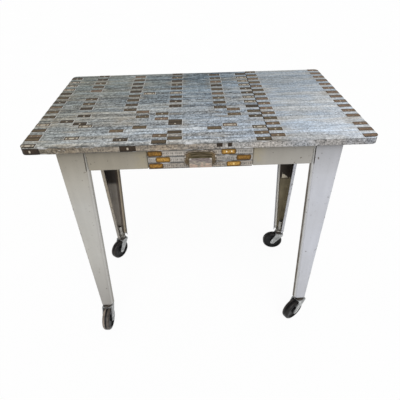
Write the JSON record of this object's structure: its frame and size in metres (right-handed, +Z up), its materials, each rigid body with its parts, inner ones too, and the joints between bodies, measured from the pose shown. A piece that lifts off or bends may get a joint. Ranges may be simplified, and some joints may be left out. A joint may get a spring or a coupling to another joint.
{
  "type": "workshop table",
  "caption": "Rectangular workshop table: a top clad with weathered folding-rule sections on a folded sheet-steel base with tapered legs, a drawer with a cup pull, and swivel castors.",
  "frame": {"origin": "on the floor, under the middle of the table's footprint", "axes": "+X to the right along the long side, +Y to the back, away from the drawer's face, +Z up"},
  "size_m": [0.8, 0.5132, 0.6811],
  "materials": {
    "board_wood": "raw, sawn",
    "rule_wood": "worn grey-white paint",
    "enamel": "satin, chipped",
    "steel": "bare, dull",
    "zinc": "zinc plated",
    "nickel": "worn nickel",
    "rubber": "smooth black"
  },
  "bodies": {
    "frame": {"apron_front_left": "enamel", "apron_front_right": "enamel", "apron_left": "enamel", "apron_rear": "enamel", "apron_right": "enamel", "caster_socket_front_left": "steel", "caster_socket_front_right": "steel", "caster_socket_rear_left": "steel", "caster_socket_rear_right": "steel", "drawer_runner_left": "steel", "drawer_runner_right": "steel", "edge_rule_front": "rule_wood", "edge_rule_left": "rule_wood", "edge_rule_rear": "rule_wood", "edge_rule_right": "rule_wood", "leg_front_left": "enamel", "leg_front_right": "enamel", "leg_rear_left": "enamel", "leg_rear_right": "enamel", "top_board": "board_wood", "top_rules_01": "rule_wood", "top_rules_02": "rule_wood", "top_rules_03": "rule_wood", "top_rules_04": "rule_wood", "top_rules_05": "rule_wood", "top_rules_06": "rule_wood", "top_rules_07": "rule_wood", "top_rules_08": "rule_wood", "top_rules_09": "rule_wood", "top_rules_10": "rule_wood", "top_rules_11": "rule_wood", "top_rules_12": "rule_wood", "top_rules_13": "rule_wood", "top_rules_14": "rule_wood", "top_rules_15": "rule_wood"},
    "caster_front_left": {"caster_axle_front_left": "zinc", "caster_fork_front_left": "zinc", "caster_stem_front_left": "steel"},
    "caster_front_right": {"caster_axle_front_right": "zinc", "caster_fork_front_right": "zinc", "caster_stem_front_right": "steel"},
    "caster_rear_left": {"caster_axle_rear_left": "zinc", "caster_fork_rear_left": "zinc", "caster_stem_rear_left": "steel"},
    "caster_rear_right": {"caster_axle_rear_right": "zinc", "caster_fork_rear_right": "zinc", "caster_stem_rear_right": "steel"},
    "wheel_front_left": {"caster_wheel_front_left": "rubber"},
    "wheel_front_right": {"caster_wheel_front_right": "rubber"},
    "wheel_rear_left": {"caster_wheel_rear_left": "rubber"},
    "wheel_rear_right": {"caster_wheel_rear_right": "rubber"},
    "drawer": {"drawer_front": "enamel", "drawer_pull": "nickel", "drawer_rule_bottom": "rule_wood", "drawer_rule_middle": "rule_wood", "drawer_rule_top": "rule_wood", "drawer_tray": "steel"}
  },
  "joints": [
    {"name": "drawer_slide", "type": "slide", "parent": "frame", "child": "drawer", "axis": [0, -1, 0], "range_m": [0, 0.22]},
    {"name": "swivel_front_left", "type": "hinge", "parent": "frame", "child": "caster_front_left", "pos_m": [-0.3165, -0.19547, 0.09], "axis": [0, 0, 1], "continuous": true},
    {"name": "wheel_spin_front_left", "type": "hinge", "parent": "caster_front_left", "child": "wheel_front_left", "pos_m": [-0.31773, -0.21894, 0.0375], "axis": [0.9986, -0.0523, 0], "continuous": true},
    {"name": "swivel_front_right", "type": "hinge", "parent": "frame", "child": "caster_front_right", "pos_m": [0.3165, -0.19547, 0.09], "axis": [0, 0, 1], "continuous": true},
    {"name": "wheel_spin_front_right", "type": "hinge", "parent": "caster_front_right", "child": "wheel_front_right", "pos_m": [0.29679, -0.20827, 0.0375], "axis": [0.5446, -0.8387, 0], "continuous": true},
    {"name": "swivel_rear_left", "type": "hinge", "parent": "frame", "child": "caster_rear_left", "pos_m": [-0.3165, 0.12153, 0.09], "axis": [0, 0, 1], "continuous": true},
    {"name": "wheel_spin_rear_left", "type": "hinge", "parent": "caster_rear_left", "child": "wheel_rear_left", "pos_m": [-0.32964, 0.10204, 0.0375], "axis": [0.829, -0.5592, 0], "continuous": true},
    {"name": "swivel_rear_right", "type": "hinge", "parent": "frame", "child": "caster_rear_right", "pos_m": [0.3165, 0.12153, 0.09], "axis": [0, 0, 1], "continuous": true},
    {"name": "wheel_spin_rear_right", "type": "hinge", "parent": "caster_rear_right", "child": "wheel_rear_right", "pos_m": [0.29318, 0.12439, 0.0375], "axis": [-0.1219, -0.9925, 0], "continuous": true}
  ]
}
